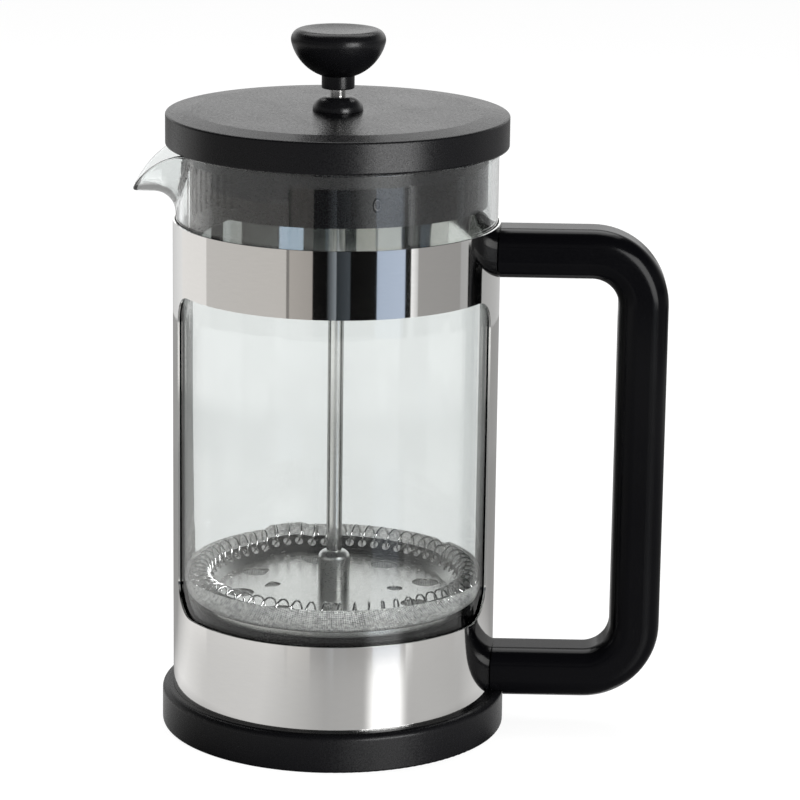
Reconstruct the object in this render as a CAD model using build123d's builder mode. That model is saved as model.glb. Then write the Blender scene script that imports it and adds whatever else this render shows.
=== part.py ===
"""French press: a glass beaker in a windowed steel sleeve, with a lid and a sprung filter on a rod.

Millimetres, +Z up. The origin is on the beaker's axis at the table, the handle points along +X
and the spout along -X. The plunger stands a little above its lowest place.
"""

import math
import os

from build123d import *

os.makedirs("parts", exist_ok=True)

# Clearances
FIT = 0.05  # between two pieces of one body, one inside the other
RUNNING = 0.06  # radial, rod in its guide and guide in the lid
REST = 0.1  # between flat faces of pieces that move apart
SLIDE = 0.3  # radial, filter in the glass and beaker in the sleeve

# Base
BASE_LEDGE = 3.4  # base beyond the sleeve
BASE_HEIGHT = 12.0
BASE_EDGE = 2.0
BASE_FOOT_EDGE = 0.8
BASE_WALL = 2.6
BASE_SEAT = 6.5  # height of the face that the glass stands on
BASE_FLOOR = 3.0
BASE_GROOVE = 1.5  # how deep the sleeve stands in the base
BASE_RIBS = 8
BASE_RIB = 1.6
BASE_RIB_LIFT = 0.8
BASE_HUB_DIAMETER = 20.0

# Beaker
BEAKER_DIAMETER = 98.2
BEAKER_HEIGHT = 176.1
GLASS_WALL = 2.1
GLASS_FLOOR = 3.0
GLASS_HEEL = 6.0  # outside radius of the bottom corner
SPOUT_PROJECTION = 13.1  # tip beyond the wall
SPOUT_ROOT = 11.6  # horn's inner end inside the wall
SPOUT_DEPTH = 15.0  # rim to the spout's underside
SPOUT_TIP_RADIUS = 11.2
SPOUT_FLARE = 0.5
SPOUT_FLARE_GROWTH = 0.01
SPOUT_SECTIONS = 6
SPOUT_BEND = 6.5  # outside radius where the spout leaves the wall
SPOUT_LIP_DROP = 14.3  # rim to the lip at the tip
SPOUT_LIP_RUN = 22.2  # length over which the lip falls

# Sleeve
SLEEVE_SHEET = 0.6
SLEEVE_DROP = 22.8  # rim to the sleeve's top
WINDOW_BOTTOM = 38.6
UPPER_BAND = 20.6  # sleeve above the windows
WINDOW_TOP_CORNER = 9.0
WINDOW_BOTTOM_CORNER = 11.0
STRAP_HALF_ANGLE = 18.6

# Handle and its fixings
HANDLE_STANDOFF = 44.0  # sleeve to the grip's middle
HANDLE_DROP = 9.0  # sleeve's top to the upper arm's middle
HANDLE_LOWER = 17.4
HANDLE_THICKNESS = 15.2
HANDLE_DEPTH = 19.0
HANDLE_EDGE = 5.5
HANDLE_BEND = 16.0
HANDLE_SHADOW_GAP = 0.2
HANDLE_RELIEF = 0.4  # room round the base's rim
SCREW_DIAMETER = 3.9
SCREW_LENGTH = 13.0
SCREW_HEAD_DIAMETER = 7.0
SCREW_HEAD_HEIGHT = 1.5
SCREW_SINK = 0.35  # head face below the sleeve's inside
INSERT_DIAMETER = 5.6
INSERT_LENGTH = 12.0
INSERT_SETBACK = 2.6  # insert behind the handle's end

# Lid
LID_OVERHANG = 3.1  # lid beyond the glass
LID_RIM = 9.6  # height of the outer edge
LID_RISE = 0.8  # crown at the middle
LID_BAND = 8.0  # sloping band inside the edge
LID_EDGE = 0.6
LID_WALL = 2.2
LID_TOP = 2.4
LID_RIBS = 24
LID_RIB = 1.4
SKIRT_GAP = 1.1  # radial, skirt inside the glass
SKIRT_WALL = 1.8
SKIRT_DEPTH = 16.8  # below the lid's edge
TONGUE_DEPTH = 26.9  # lowest point in front of the spout
TONGUE_RADIUS = 59.0
SLOTS = 29
SLOT_PITCH = 3.6
SLOT_WIDTH = 1.3
SLOT_TOP = 4.1  # below the lid's edge
SLOT_MARGIN = 4.4  # left whole under the slots
SLOT_SHORTEST = 9.7

# Rod guide
GUIDE_DIAMETER = 15.4
GUIDE_HEIGHT = 4.2
GUIDE_TOP_DIAMETER = 6.8
GUIDE_STEM_DIAMETER = 10.0
GUIDE_BOSS_DIAMETER = 18.0
GUIDE_NUT_DIAMETER = 15.0
GUIDE_NUT_HEIGHT = 3.0

# Plunger rod and knob
ROD_DIAMETER = 4.8
ROD_CHAMFER = 0.4
KNOB_LIFT = 2.4  # gap between the guide and the knob at rest
KNOB_NECK_DIAMETER = 10.0
KNOB_NECK_HEIGHT = 3.9
KNOB_DIAMETER = 28.5
KNOB_BOWL_HEIGHT = 10.1
KNOB_BOWL_MIDDLE = 23.8  # diameter half way up the bowl
KNOB_CROWN_HEIGHT = 4.0
KNOB_TOP_DIAMETER = 21.8
KNOB_DISH = 0.5
KNOB_DISH_DIAMETER = 20.6
KNOB_NECK_EDGE = 0.4
KNOB_INSERT_DIAMETER = 7.6
KNOB_INSERT_LENGTH = 9.0
KNOB_INSERT_SETBACK = 0.6

# Filter
FILTER_HEIGHT = 42.0  # underside of the perforated plate
PLATE_SHEET = 0.6
PLATE_FLOOR_INSET = 5.5  # floor's edge inside the spring's ring
PLATE_RIM_RISE = 4.8
PLATE_RIM_RUN = 4.6
PLATE_HOLES = 8
PLATE_HOLE_DIAMETER = 8.5
PLATE_HOLE_INSET = 7.0  # hole circle inside the floor's edge
PLATE_SMALL_HOLES = 4
PLATE_SMALL_HOLE_DIAMETER = 5.0
PLATE_SMALL_HOLE_INSET = 17.5
PLATE_HOLE_TURN = 14.0
RIM_HOLE_DIAMETER = 2.7
SPRING_TURNS = 60
SPRING_WIRE = 0.6
SPRING_COIL_RADIUS = 3.3  # middle of the wire
SPRING_RISE = 5.2  # above the plate's underside
SPRING_GAP = 0.7  # between the spring and the screen
SPRING_START = 3.0  # degrees from the handle
SCREEN_SHEET = 0.4
SCREEN_RISE = 7.8
SCREEN_BEND = 4.2
CROSS_SHEET = 0.8
CROSS_INSET = 3.3  # cross plate's edge inside the screen's
CROSS_SPOKES = 6
CROSS_SPOKE = 7.0
CROSS_RIM = 5.0
CROSS_HUB_DIAMETER = 26.0
CROSS_LIP = 0.9
COLLAR_DIAMETER = 9.8
COLLAR_HEIGHT = 12.0
COLLAR_SHOULDER = 2.2
CLAMP_NUT_DIAMETER = 12.0
CLAMP_NUT_HEIGHT = 6.4
CLAMP_NUT_EDGE = 1.6
CLAMP_NUT_FLOOR = 1.6

# Heights and radii that follow from the sizes above
beaker_radius = BEAKER_DIAMETER / 2
bore_radius = beaker_radius - GLASS_WALL
rim_height = BASE_SEAT + BEAKER_HEIGHT
sleeve_inside = beaker_radius + SLIDE
sleeve_outside = sleeve_inside + SLEEVE_SHEET
sleeve_bottom = BASE_SEAT - BASE_GROOVE
sleeve_top = rim_height - SLEEVE_DROP
window_top = sleeve_top - UPPER_BAND
base_radius = sleeve_outside + BASE_LEDGE
spout_reach = beaker_radius + SPOUT_PROJECTION
handle_reach = sleeve_outside + HANDLE_STANDOFF
handle_upper = sleeve_top - HANDLE_DROP
handle_end = sleeve_outside + HANDLE_SHADOW_GAP
lid_radius = beaker_radius + LID_OVERHANG
lid_bottom = rim_height + REST
lid_edge_top = lid_bottom + LID_RIM
lid_top = lid_edge_top + LID_RISE
lid_under = lid_edge_top - LID_TOP
skirt_radius = bore_radius - SKIRT_GAP
guide_bottom = lid_top + REST
guide_top = guide_bottom + GUIDE_HEIGHT
boss_bottom = lid_under - LID_TOP
nut_top = boss_bottom - REST
rod_radius = ROD_DIAMETER / 2
knob_bottom = guide_top + KNOB_LIFT
screen_radius = bore_radius - SLIDE
spring_ring = screen_radius - SCREEN_SHEET - SPRING_GAP - SPRING_WIRE / 2 - SPRING_COIL_RADIUS
spring_height = FILTER_HEIGHT + SPRING_RISE
plate_floor_radius = spring_ring - PLATE_FLOOR_INSET
screen_bottom = FILTER_HEIGHT - SCREEN_SHEET
cross_bottom = screen_bottom - CROSS_SHEET
cross_radius = screen_radius - CROSS_INSET
collar_bottom = FILTER_HEIGHT + PLATE_SHEET
clamp_bottom = cross_bottom - CLAMP_NUT_HEIGHT


def finish(piece, name):
    """Label a finished piece and write it under its own name."""
    piece.part.label = name
    export_step(piece.part, f"parts/{name}.step")


def ring(inner, outer, bottom, top, mode=Mode.ADD):
    """Draw the half section of a ring on the XZ plane."""
    with Locations(((inner + outer) / 2, (bottom + top) / 2)):
        Rectangle(outer - inner, top - bottom, mode=mode)


def rim_edges(piece, radius):
    """The circular edges of one radius, from the lowest to the highest."""
    circles = piece.edges().filter_by(GeomType.CIRCLE)
    return circles.filter_by(lambda edge: abs(edge.radius - radius) < FIT).sort_by(Axis.Z)


def level_edges(piece):
    """The straight level edges, in groups from the lowest to the highest."""
    straight = piece.edges().filter_by(GeomType.LINE)
    return straight.filter_by(lambda edge: abs((edge % 0).Z) < FIT).group_by(Axis.Z)


# Base: a turned shell with the sleeve's groove on top and ribs underneath
recess_radius = base_radius - BASE_WALL
recess_top = BASE_SEAT - BASE_FLOOR
with BuildPart() as base:
    with BuildSketch(Plane.XZ):
        ring(0, base_radius, 0, BASE_HEIGHT)
        ring(0, sleeve_inside, BASE_SEAT, BASE_HEIGHT, Mode.SUBTRACT)
        ring(sleeve_inside - FIT, sleeve_outside + FIT, sleeve_bottom, BASE_HEIGHT, Mode.SUBTRACT)
        ring(0, recess_radius, 0, recess_top, Mode.SUBTRACT)
    revolve(axis=Axis.Z)
    fillet(rim_edges(base, base_radius)[-1], BASE_EDGE)
    fillet(rim_edges(base, base_radius)[0], BASE_FOOT_EDGE)
    with BuildSketch(Plane.XY.offset(BASE_RIB_LIFT)):
        with PolarLocations((recess_radius + BASE_HUB_DIAMETER / 2) / 2, BASE_RIBS):
            Rectangle(recess_radius - BASE_HUB_DIAMETER / 2 + BASE_RIB, BASE_RIB)
        Circle(BASE_HUB_DIAMETER / 2)
        Circle(BASE_HUB_DIAMETER / 2 - BASE_RIB, mode=Mode.SUBTRACT)
    extrude(until=Until.NEXT)
finish(base, "base")


# Sleeve: one rolled sheet with two windows and a dimple for each handle screw
window_angle = 180 - 2 * STRAP_HALF_ANGLE
with BuildPart() as window:
    with BuildSketch(Plane.XZ):
        ring(sleeve_inside - SLEEVE_SHEET, sleeve_outside + SLEEVE_SHEET, WINDOW_BOTTOM, window_top)
    revolve(axis=Axis.Z, revolution_arc=window_angle)
    fillet(level_edges(window)[-1], WINDOW_TOP_CORNER)
    fillet(level_edges(window)[0], WINDOW_BOTTOM_CORNER)

head_radius = SCREW_HEAD_DIAMETER / 2
shank_radius = SCREW_DIAMETER / 2
dimple_depth = SCREW_SINK + SCREW_HEAD_HEIGHT
dimple_mouth = head_radius + SCREW_SINK + FIT
dimple_hole = shank_radius + FIT


def screw_planes():
    """Planes at the two screws, looking out along the handle's arms from the sleeve's inside."""
    heights = (HANDLE_LOWER, handle_upper)
    return [Plane((sleeve_inside, 0, z), x_dir=(0, 1, 0), z_dir=(1, 0, 0)) for z in heights]


with BuildPart() as sleeve:
    with BuildSketch(Plane.XZ):
        ring(sleeve_inside, sleeve_outside, sleeve_bottom, sleeve_top)
    revolve(axis=Axis.Z)
    with Locations(Rotation(0, 0, STRAP_HALF_ANGLE), Rotation(0, 0, 180 + STRAP_HALF_ANGLE)):
        add(window.part, mode=Mode.SUBTRACT)
    for plane in screw_planes():
        with Locations(plane):
            Cone(
                dimple_mouth + SLEEVE_SHEET,
                dimple_hole + SLEEVE_SHEET,
                dimple_depth,
                align=(Align.CENTER, Align.CENTER, Align.MIN),
            )
    for plane in screw_planes():
        with Locations(plane):
            Cone(
                dimple_mouth,
                dimple_hole,
                dimple_depth,
                align=(Align.CENTER, Align.CENTER, Align.MIN),
                mode=Mode.SUBTRACT,
            )
            Cylinder(
                dimple_mouth,
                SLEEVE_SHEET,
                align=(Align.CENTER, Align.CENTER, Align.MAX),
                mode=Mode.SUBTRACT,
            )
finish(sleeve, "sleeve")


# Handle: a rounded bar bent to a D, its ends cut to the sleeve
handle_start = sleeve_inside - HANDLE_THICKNESS
with BuildPart() as handle:
    with BuildLine(Plane.XZ) as handle_line:
        FilletPolyline(
            (handle_start, handle_upper),
            (handle_reach, handle_upper),
            (handle_reach, HANDLE_LOWER),
            (handle_start, HANDLE_LOWER),
            radius=HANDLE_BEND,
        )
    with BuildSketch(Plane((handle_start, 0, handle_upper), x_dir=(0, 1, 0), z_dir=(1, 0, 0))):
        RectangleRounded(HANDLE_DEPTH, HANDLE_THICKNESS, HANDLE_EDGE)
    sweep()
    Cylinder(
        handle_end,
        sleeve_top + HANDLE_DEPTH,
        align=(Align.CENTER, Align.CENTER, Align.MIN),
        mode=Mode.SUBTRACT,
    )
    Cylinder(
        base_radius + HANDLE_RELIEF,
        BASE_HEIGHT + HANDLE_RELIEF,
        align=(Align.CENTER, Align.CENTER, Align.MIN),
        mode=Mode.SUBTRACT,
    )
    for plane in screw_planes():
        with Locations(plane):
            Cone(
                dimple_mouth + SLEEVE_SHEET + HANDLE_SHADOW_GAP,
                dimple_hole + SLEEVE_SHEET + HANDLE_SHADOW_GAP,
                dimple_depth + HANDLE_SHADOW_GAP,
                align=(Align.CENTER, Align.CENTER, Align.MIN),
                mode=Mode.SUBTRACT,
            )
            Cylinder(
                INSERT_DIAMETER / 2,
                handle_end - sleeve_inside + INSERT_SETBACK + INSERT_LENGTH + INSERT_SETBACK,
                align=(Align.CENTER, Align.CENTER, Align.MIN),
                mode=Mode.SUBTRACT,
            )
finish(handle, "handle")


insert_start = handle_end - sleeve_inside + INSERT_SETBACK
with BuildPart() as handle_inserts:
    for plane in screw_planes():
        with BuildSketch(plane.offset(insert_start)):
            Circle(INSERT_DIAMETER / 2 - FIT)
            Circle(shank_radius + FIT, mode=Mode.SUBTRACT)
        extrude(amount=INSERT_LENGTH)
finish(handle_inserts, "handle_inserts")


with BuildPart() as handle_screws:
    for plane in screw_planes():
        with Locations(plane.offset(SCREW_SINK)):
            Cone(head_radius, shank_radius, SCREW_HEAD_HEIGHT, align=(Align.CENTER, Align.CENTER, Align.MIN))
            Cylinder(shank_radius, SCREW_LENGTH, align=(Align.CENTER, Align.CENTER, Align.MIN))
finish(handle_screws, "handle_screws")


# Beaker: a turned glass with a flared horn for the spout, cut to the lip
def spout_radius(back):
    """Radius of the spout's horn at a distance back from its tip."""
    return SPOUT_TIP_RADIUS + SPOUT_FLARE * back + SPOUT_FLARE_GROWTH * back**2


spout_length = SPOUT_PROJECTION + SPOUT_ROOT
horn_top = rim_height - SPOUT_DEPTH + 2 * spout_radius(spout_length) + GLASS_WALL


def glass_form(radius, bottom, heel, inset, bend):
    """Turn one side of the glass and blend the spout's horn into it.

    The outside has no inset; the inside of the glass is inset by the wall.
    """
    with BuildPart() as form:
        with BuildSketch(Plane.XZ):
            with BuildLine():
                FilletPolyline((0, bottom), (radius, bottom), (radius, horn_top), radius=heel)
                Polyline((radius, horn_top), (0, horn_top), (0, bottom))
            make_face()
        revolve(axis=Axis.Z)
        for step in range(SPOUT_SECTIONS):
            back = spout_length * step / (SPOUT_SECTIONS - 1)
            centre = rim_height - SPOUT_DEPTH + spout_radius(back)
            with BuildSketch(Plane((back - spout_reach, 0, centre), x_dir=(0, 1, 0), z_dir=(1, 0, 0))):
                Circle(spout_radius(back) - inset)
        loft()
        fillet(form.edges(Select.NEW), bend)
    return form.part


glass_outside = glass_form(beaker_radius, BASE_SEAT, GLASS_HEEL, 0, SPOUT_BEND)
glass_inside = glass_form(
    bore_radius, BASE_SEAT + GLASS_FLOOR, GLASS_HEEL - GLASS_WALL, GLASS_WALL, SPOUT_BEND + GLASS_WALL
)

lip_radius = (SPOUT_LIP_RUN**2 + SPOUT_LIP_DROP**2) / (2 * SPOUT_LIP_DROP)
lip_start = spout_reach - SPOUT_LIP_RUN
with BuildPart() as above_rim:
    with BuildSketch(Plane.XZ):
        with BuildLine():
            fall = RadiusArc(
                (-lip_start, rim_height), (-lip_start - lip_radius, rim_height - lip_radius), -lip_radius
            )
            Polyline(
                fall @ 1,
                (-lip_start - lip_radius, horn_top + lip_radius),
                (base_radius, horn_top + lip_radius),
                (base_radius, rim_height),
                fall @ 0,
            )
        make_face()
    extrude(amount=base_radius, both=True)

with BuildPart() as beaker:
    add(glass_outside)
    add(glass_inside, mode=Mode.SUBTRACT)
    add(above_rim.part, mode=Mode.SUBTRACT)
finish(beaker, "beaker")


# Lid: cap, ribbed channel over the glass, and a skirt with the strainer in front of the spout
tongue_bottom = lid_bottom - TONGUE_DEPTH
tongue_centre = tongue_bottom + TONGUE_RADIUS
skirt_bottom = lid_bottom - SKIRT_DEPTH
skirt_inside = skirt_radius - SKIRT_WALL
channel_outside = lid_radius - LID_WALL
stem_radius = GUIDE_STEM_DIAMETER / 2
tongue_half_width = math.sqrt(TONGUE_RADIUS**2 - (tongue_centre - skirt_bottom) ** 2)
slot_top = lid_bottom - SLOT_TOP


def slot_bottom(turn):
    """Lower end of the strainer slot that lies a turn, in degrees, from the spout."""
    across = skirt_radius * math.sin(math.radians(turn))
    above_tongue = tongue_centre - math.sqrt((TONGUE_RADIUS - SLOT_MARGIN) ** 2 - across**2)
    return min(above_tongue, slot_top - SLOT_SHORTEST)


with BuildPart() as strainer_slots:
    for slot in range(SLOTS):
        turn = (slot - (SLOTS - 1) / 2) * SLOT_PITCH
        height = slot_top - slot_bottom(turn)
        with Locations(Rotation(0, 0, 180 + turn) * Pos(skirt_radius - SKIRT_WALL / 2, 0, slot_top)):
            Box(2 * SKIRT_WALL, SLOT_WIDTH, height, align=(Align.CENTER, Align.CENTER, Align.MAX))

with BuildPart() as below_skirt:
    with BuildSketch(Plane.YZ):
        with BuildLine():
            tongue = ThreePointArc(
                (-tongue_half_width, skirt_bottom), (0, tongue_bottom), (tongue_half_width, skirt_bottom)
            )
            Polyline(
                tongue @ 1,
                (lid_radius, skirt_bottom),
                (lid_radius, tongue_bottom - SKIRT_WALL),
                (-lid_radius, tongue_bottom - SKIRT_WALL),
                (-lid_radius, skirt_bottom),
                tongue @ 0,
            )
        make_face()
    extrude(amount=-lid_radius)
    with BuildSketch(Plane.YZ):
        with Locations((0, (skirt_bottom + tongue_bottom - SKIRT_WALL) / 2)):
            Rectangle(2 * lid_radius, skirt_bottom - tongue_bottom + SKIRT_WALL)
    extrude(amount=lid_radius)

with BuildPart() as lid:
    with BuildSketch(Plane.XZ):
        with BuildLine():
            Polyline(
                (0, lid_top),
                (lid_radius - LID_BAND, lid_top),
                (lid_radius, lid_edge_top),
                (lid_radius, lid_bottom),
                (0, lid_bottom),
                close=True,
            )
        make_face()
        ring(skirt_radius, channel_outside, lid_bottom, lid_under, Mode.SUBTRACT)
        ring(0, skirt_inside, lid_bottom, lid_under, Mode.SUBTRACT)
        ring(skirt_inside, skirt_radius, tongue_bottom, lid_bottom)
        ring(0, GUIDE_BOSS_DIAMETER / 2, boss_bottom, lid_under)
        ring(0, stem_radius + RUNNING, boss_bottom, lid_top, Mode.SUBTRACT)
    revolve(axis=Axis.Z)
    fillet(rim_edges(lid, lid_radius), LID_EDGE)
    with BuildSketch(Plane.XY.offset(lid_bottom)):
        with PolarLocations((skirt_radius + channel_outside) / 2, LID_RIBS):
            Rectangle(channel_outside - skirt_radius + SKIRT_WALL, LID_RIB)
    extrude(amount=lid_under - lid_bottom)
    add(below_skirt.part, mode=Mode.SUBTRACT)
    add(strainer_slots.part, mode=Mode.SUBTRACT)
finish(lid, "lid")


# Rod guide: a domed bush whose stem goes through the lid, and the nut under it
guide_bore = rod_radius + RUNNING
nut_bottom = nut_top - GUIDE_NUT_HEIGHT
with BuildPart() as rod_guide:
    with BuildSketch(Plane.XZ):
        with BuildLine():
            dome = EllipticalCenterArc(
                (GUIDE_TOP_DIAMETER / 2, guide_bottom),
                (GUIDE_DIAMETER - GUIDE_TOP_DIAMETER) / 2,
                GUIDE_HEIGHT,
                start_angle=0,
                arc_size=90,
            )
            Polyline(dome @ 1, (0, guide_top), (0, guide_bottom), dome @ 0)
        make_face()
        ring(0, stem_radius, nut_bottom, guide_bottom)
        ring(0, guide_bore, nut_bottom, guide_top, Mode.SUBTRACT)
    revolve(axis=Axis.Z)
finish(rod_guide, "rod_guide")

with BuildPart() as guide_nut:
    with BuildSketch(Plane.XY.offset(nut_bottom)):
        RegularPolygon(GUIDE_NUT_DIAMETER / 2, 6)
        Circle(stem_radius + FIT, mode=Mode.SUBTRACT)
    extrude(amount=GUIDE_NUT_HEIGHT)
finish(guide_nut, "guide_nut")


# Knob: a turned mushroom with a threaded insert for the rod
neck_radius = KNOB_NECK_DIAMETER / 2
neck_top = knob_bottom + KNOB_NECK_HEIGHT
bowl_top = neck_top + KNOB_BOWL_HEIGHT
knob_top = bowl_top + KNOB_CROWN_HEIGHT
knob_face = KNOB_TOP_DIAMETER / 2
dish_radius = (KNOB_DISH_DIAMETER**2 / 4 + KNOB_DISH**2) / (2 * KNOB_DISH)
knob_insert_bottom = knob_bottom + KNOB_INSERT_SETBACK
knob_insert_top = knob_insert_bottom + KNOB_INSERT_LENGTH
with BuildPart() as knob:
    with BuildSketch(Plane.XZ):
        with BuildLine():
            bowl = ThreePointArc(
                (neck_radius, neck_top),
                (KNOB_BOWL_MIDDLE / 2, (neck_top + bowl_top) / 2),
                (KNOB_DIAMETER / 2, bowl_top),
            )
            crown = TangentArc(bowl @ 1, (knob_face, knob_top), tangent=bowl % 1)
            Polyline(crown @ 1, (0, knob_top), (0, knob_bottom), (neck_radius, knob_bottom), bowl @ 0)
        make_face()
        ring(0, rod_radius + FIT, knob_bottom, knob_insert_top, Mode.SUBTRACT)
        ring(0, KNOB_INSERT_DIAMETER / 2, knob_insert_bottom, knob_insert_top, Mode.SUBTRACT)
    revolve(axis=Axis.Z)
    fillet(rim_edges(knob, neck_radius)[0], KNOB_NECK_EDGE)
    with Locations((0, 0, knob_top - KNOB_DISH + dish_radius)):
        Sphere(dish_radius, mode=Mode.SUBTRACT)
finish(knob, "knob")

with BuildPart() as knob_insert:
    with BuildSketch(Plane.XZ):
        ring(rod_radius + FIT, KNOB_INSERT_DIAMETER / 2 - FIT, knob_insert_bottom, knob_insert_top)
    revolve(axis=Axis.Z)
finish(knob_insert, "knob_insert")

rod_bottom = clamp_bottom + CLAMP_NUT_FLOOR
with BuildPart() as rod:
    with BuildSketch(Plane.XY.offset(rod_bottom)):
        Circle(rod_radius)
    extrude(amount=knob_insert_top - rod_bottom)
    chamfer(rod.edges().filter_by(GeomType.CIRCLE), ROD_CHAMFER)
finish(rod, "rod")

with BuildPart() as rod_collar:
    with BuildSketch(Plane.XZ):
        ring(rod_radius + FIT, COLLAR_DIAMETER / 2, collar_bottom, collar_bottom + COLLAR_HEIGHT)
    revolve(axis=Axis.Z)
    fillet(rim_edges(rod_collar, COLLAR_DIAMETER / 2)[-1], COLLAR_SHOULDER)
finish(rod_collar, "rod_collar")


# Garter spring: one wire wound round a ring, each curl through its own hole in the plate's rim
curl_pitch = 2 * math.pi / SPRING_TURNS


def spring_point(turns):
    """Point of the wire's middle line after a number of turns."""
    around = math.radians(SPRING_START) + curl_pitch * turns
    reach = spring_ring + SPRING_COIL_RADIUS * math.cos(2 * math.pi * turns)
    height = spring_height + SPRING_COIL_RADIUS * math.sin(2 * math.pi * turns)
    return Vector(reach * math.cos(around), reach * math.sin(around), height)


def spring_direction(turns):
    """Unit tangent of the wire's middle line after a number of turns."""
    around = math.radians(SPRING_START) + curl_pitch * turns
    curl = 2 * math.pi * turns
    reach = spring_ring + SPRING_COIL_RADIUS * math.cos(curl)
    along = curl_pitch * reach
    outward = -2 * math.pi * SPRING_COIL_RADIUS * math.sin(curl)
    upward = 2 * math.pi * SPRING_COIL_RADIUS * math.cos(curl)
    direction = Vector(
        outward * math.cos(around) - along * math.sin(around),
        outward * math.sin(around) + along * math.cos(around),
        upward,
    )
    return direction.normalized()


def biarc_middle(start, end, start_way, end_way):
    """Where two arcs meet that leave one point and reach another along given tangents."""
    chord = end - start
    ways = start_way + end_way
    bend = 2 * (1 - start_way.dot(end_way))
    lean = chord.dot(ways)
    reach = (math.sqrt(lean**2 + bend * chord.dot(chord)) - lean) / bend
    return (start + end + (start_way - end_way) * reach) * 0.5


half_turns = 2 * SPRING_TURNS - 1
wire_side = SPRING_WIRE * math.sqrt(math.pi) / 2  # square of the round wire's area
with BuildPart() as garter_spring:
    with BuildLine() as spring_line:
        first_way = spring_direction(0)
        Line(spring_point(0) - first_way * SPRING_WIRE, spring_point(0))
        for half in range(half_turns):
            start = spring_point(half / 2)
            end = spring_point((half + 1) / 2)
            start_way = spring_direction(half / 2)
            end_way = spring_direction((half + 1) / 2)
            middle = biarc_middle(start, end, start_way, end_way)
            chord = (middle - start).normalized()
            middle_way = chord * (2 * chord.dot(start_way)) - start_way
            TangentArc(start, middle, tangent=start_way)
            TangentArc(middle, end, tangent=middle_way)
        last_way = spring_direction(half_turns / 2)
        Line(spring_point(half_turns / 2), spring_point(half_turns / 2) + last_way * SPRING_WIRE)
    with BuildSketch(Plane(spring_line.wire() @ 0, z_dir=first_way)):
        Rectangle(wire_side, wire_side)
    sweep(path=spring_line.wire(), clean=False)
finish(garter_spring, "garter_spring")

GAP_STEPS = 24  # points in a turn when the gap between curls is measured
wire_points = [spring_point(step / GAP_STEPS) for step in range(GAP_STEPS * half_turns // 2)]
least_gap = min(
    (wire_points[first] - wire_points[second]).length - SPRING_WIRE
    for first in range(len(wire_points))
    for second in range(first + GAP_STEPS // 2, min(first + 2 * GAP_STEPS, len(wire_points)))
)
end_gap = (spring_point(0) - spring_point(half_turns / 2)).length - SPRING_WIRE
print(f"garter spring: least gap to itself {min(least_gap, end_gap):.2f} mm")


# Perforated plate: a dished sheet with a hole in its sloping rim for each curl of the spring
rim_length = math.hypot(PLATE_RIM_RUN, PLATE_RIM_RISE)
rim_way = Vector(PLATE_RIM_RUN, PLATE_RIM_RISE) / rim_length
rim_normal = Vector(-rim_way.Y, rim_way.X)
rim_foot = Vector(plate_floor_radius, FILTER_HEIGHT) + rim_normal * (PLATE_SHEET / 2)
to_curl = Vector(spring_ring, spring_height) - rim_foot
curl_along = to_curl.dot(rim_way)
curl_off = to_curl.dot(rim_normal)
hole_along = curl_along - math.sqrt(SPRING_COIL_RADIUS**2 - curl_off**2)
hole_place = rim_foot + rim_way * hole_along
hole_from_curl = hole_place - Vector(spring_ring, spring_height)
hole_turn = math.atan2(hole_from_curl.Y, hole_from_curl.X) / (2 * math.pi) % 1

with BuildPart() as rim_holes:
    for curl in range(SPRING_TURNS):
        around = SPRING_START + math.degrees(curl_pitch) * (curl + hole_turn)
        hole_plane = Plane(
            (hole_place.X, 0, hole_place.Y), x_dir=(0, 1, 0), z_dir=(rim_normal.X, 0, rim_normal.Y)
        )
        with Locations(Rotation(0, 0, around) * hole_plane.location):
            Cylinder(RIM_HOLE_DIAMETER / 2, 4 * PLATE_SHEET)

with BuildPart() as spiral_plate:
    with BuildSketch(Plane.XZ):
        with BuildLine():
            sheet_line = Polyline(
                (rod_radius + FIT, FILTER_HEIGHT),
                (plate_floor_radius, FILTER_HEIGHT),
                (plate_floor_radius + PLATE_RIM_RUN, FILTER_HEIGHT + PLATE_RIM_RISE),
            )
            offset(sheet_line, amount=PLATE_SHEET, side=Side.LEFT, kind=Kind.INTERSECTION)
        make_face()
    revolve(axis=Axis.Z)
    with BuildSketch(Plane.XY.offset(FILTER_HEIGHT)):
        with PolarLocations(plate_floor_radius - PLATE_HOLE_INSET, PLATE_HOLES, start_angle=PLATE_HOLE_TURN):
            Circle(PLATE_HOLE_DIAMETER / 2)
        with PolarLocations(plate_floor_radius - PLATE_SMALL_HOLE_INSET, PLATE_SMALL_HOLES):
            Circle(PLATE_SMALL_HOLE_DIAMETER / 2)
    extrude(amount=PLATE_SHEET, mode=Mode.SUBTRACT)
    add(rim_holes.part, mode=Mode.SUBTRACT)
finish(spiral_plate, "spiral_plate")


# Screen: a thin dish whose edge turns up round the spring to wipe the glass
screen_top = screen_bottom + SCREEN_RISE
bend_centre = (screen_radius - SCREEN_BEND, screen_top)
with BuildPart() as mesh_screen:
    with BuildSketch(Plane.XZ):
        with BuildLine():
            outside = EllipticalCenterArc(bend_centre, SCREEN_BEND, SCREEN_RISE, start_angle=270, arc_size=90)
            inside = EllipticalCenterArc(
                bend_centre,
                SCREEN_BEND - SCREEN_SHEET,
                SCREEN_RISE - SCREEN_SHEET,
                start_angle=270,
                arc_size=90,
            )
            Line(outside @ 1, inside @ 1)
            Polyline(
                outside @ 0,
                (rod_radius + FIT, screen_bottom),
                (rod_radius + FIT, FILTER_HEIGHT),
                inside @ 0,
            )
        make_face()
    revolve(axis=Axis.Z)
finish(mesh_screen, "mesh_screen")


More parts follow.
